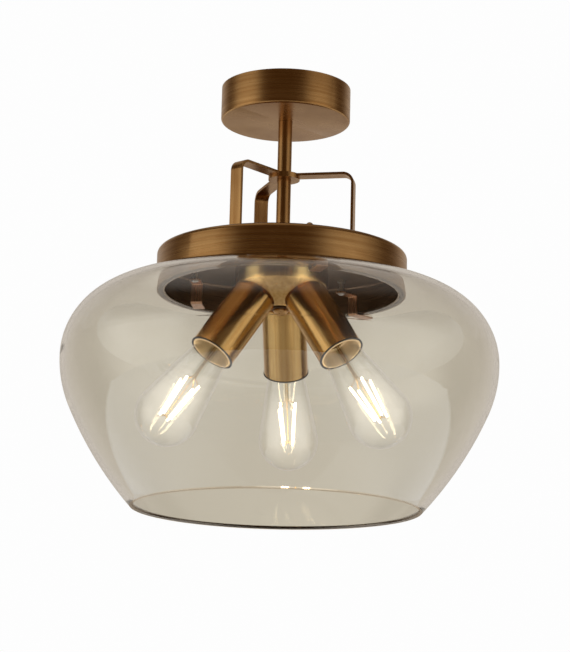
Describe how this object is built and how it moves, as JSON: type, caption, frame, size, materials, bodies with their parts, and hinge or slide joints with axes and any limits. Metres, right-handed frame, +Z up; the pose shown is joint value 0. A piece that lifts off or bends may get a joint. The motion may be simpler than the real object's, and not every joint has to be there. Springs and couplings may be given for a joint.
{
  "type": "semi flush ceiling light",
  "caption": "Semi flush ceiling light: bell-shaped smoked glass shade clipped under a brass gallery on a strapped down rod, with tilted filament lamps inside.",
  "frame": {"origin": "centre of the ceiling plane, at the middle of the bracket's two slots", "axes": "+Z up into the ceiling; -Y faces the front; +X to the right"},
  "size_m": [0.3973, 0.3974, 0.3954],
  "materials": {
    "antique_brass": "brushed antique brass, lacquered",
    "zinc_steel": "zinc plated",
    "clip_copper": "warm copper-brass strip",
    "bright_brass": "bright brass",
    "white_plastic": "cream insulating plastic",
    "black_plastic": "black",
    "smoke_glass": "clear glass with a champagne smoke tint",
    "clear_glass": "clear",
    "warm_filament": "phosphor-coated light-emitting stick"
  },
  "bodies": {
    "fixture": {"bracket_bush": "zinc_steel", "ceiling_bracket": "zinc_steel", "ceiling_rose": "antique_brass", "centre_contact_back": "bright_brass", "centre_contact_left": "bright_brass", "centre_contact_right": "bright_brass", "centre_stud": "zinc_steel", "clip_cap_nuts": "antique_brass", "clip_lock_nuts": "zinc_steel", "clip_plate_nuts": "zinc_steel", "clip_screws": "zinc_steel", "collar_grub_screw": "zinc_steel", "down_rod": "antique_brass", "gallery_pan": "antique_brass", "glass_shade": "smoke_glass", "holder_nipples": "zinc_steel", "holder_nuts": "zinc_steel", "holder_tube_back": "antique_brass", "holder_tube_left": "antique_brass", "holder_tube_right": "antique_brass", "hub_cap_nut": "antique_brass", "hub_washer": "antique_brass", "lamp_hub": "antique_brass", "lampholder_body_back": "white_plastic", "lampholder_body_left": "white_plastic", "lampholder_body_right": "white_plastic", "mouth_ring_back": "black_plastic", "mouth_ring_left": "black_plastic", "mouth_ring_right": "black_plastic", "rose_side_screws": "zinc_steel", "screw_shell_back": "bright_brass", "screw_shell_left": "bright_brass", "screw_shell_right": "bright_brass", "spider_collar": "antique_brass", "spider_strap_back": "antique_brass", "spider_strap_left": "antique_brass", "spider_strap_right": "antique_brass", "strap_collar_screws": "zinc_steel", "strap_foot_nuts": "zinc_steel", "strap_foot_screws": "zinc_steel", "terminal_block": "white_plastic", "terminal_screws": "bright_brass", "top_nipple": "zinc_steel", "tube_washers": "black_plastic"},
    "clip_front": {"glass_clip_front": "clip_copper"},
    "clip_right": {"glass_clip_right": "clip_copper"},
    "clip_left": {"glass_clip_left": "clip_copper"},
    "bulb_left": {"bulb_envelope_left": "clear_glass", "bulb_cap_left": "bright_brass", "bulb_stem_left": "clear_glass", "bulb_filaments_left": "warm_filament"},
    "bulb_right": {"bulb_envelope_right": "clear_glass", "bulb_cap_right": "bright_brass", "bulb_stem_right": "clear_glass", "bulb_filaments_right": "warm_filament"},
    "bulb_back": {"bulb_envelope_back": "clear_glass", "bulb_cap_back": "bright_brass", "bulb_stem_back": "clear_glass", "bulb_filaments_back": "warm_filament"}
  },
  "joints": [
    {"name": "clip_front_swivel", "type": "hinge", "parent": "fixture", "child": "clip_front", "pos_m": [0.02357, -0.07958, -0.17575], "axis": [0, 0, 1], "range_deg": [-110, 110]},
    {"name": "clip_right_swivel", "type": "hinge", "parent": "fixture", "child": "clip_right", "pos_m": [0.05713, 0.06021, -0.17575], "axis": [0, 0, 1], "range_deg": [-110, 110]},
    {"name": "clip_left_swivel", "type": "hinge", "parent": "fixture", "child": "clip_left", "pos_m": [-0.08071, 0.01938, -0.17575], "axis": [0, 0, 1], "range_deg": [-28, 192]},
    {"name": "bulb_left_withdraw", "type": "slide", "parent": "fixture", "child": "bulb_left", "axis": [-0.5107, -0.2382, -0.8261], "range_m": [0, 0.022]},
    {"name": "bulb_right_withdraw", "type": "slide", "parent": "fixture", "child": "bulb_right", "axis": [0.4616, -0.3232, -0.8261], "range_m": [0, 0.022]},
    {"name": "bulb_back_withdraw", "type": "slide", "parent": "fixture", "child": "bulb_back", "axis": [0.0537, 0.6133, -0.788], "range_m": [0, 0.022]}
  ]
}
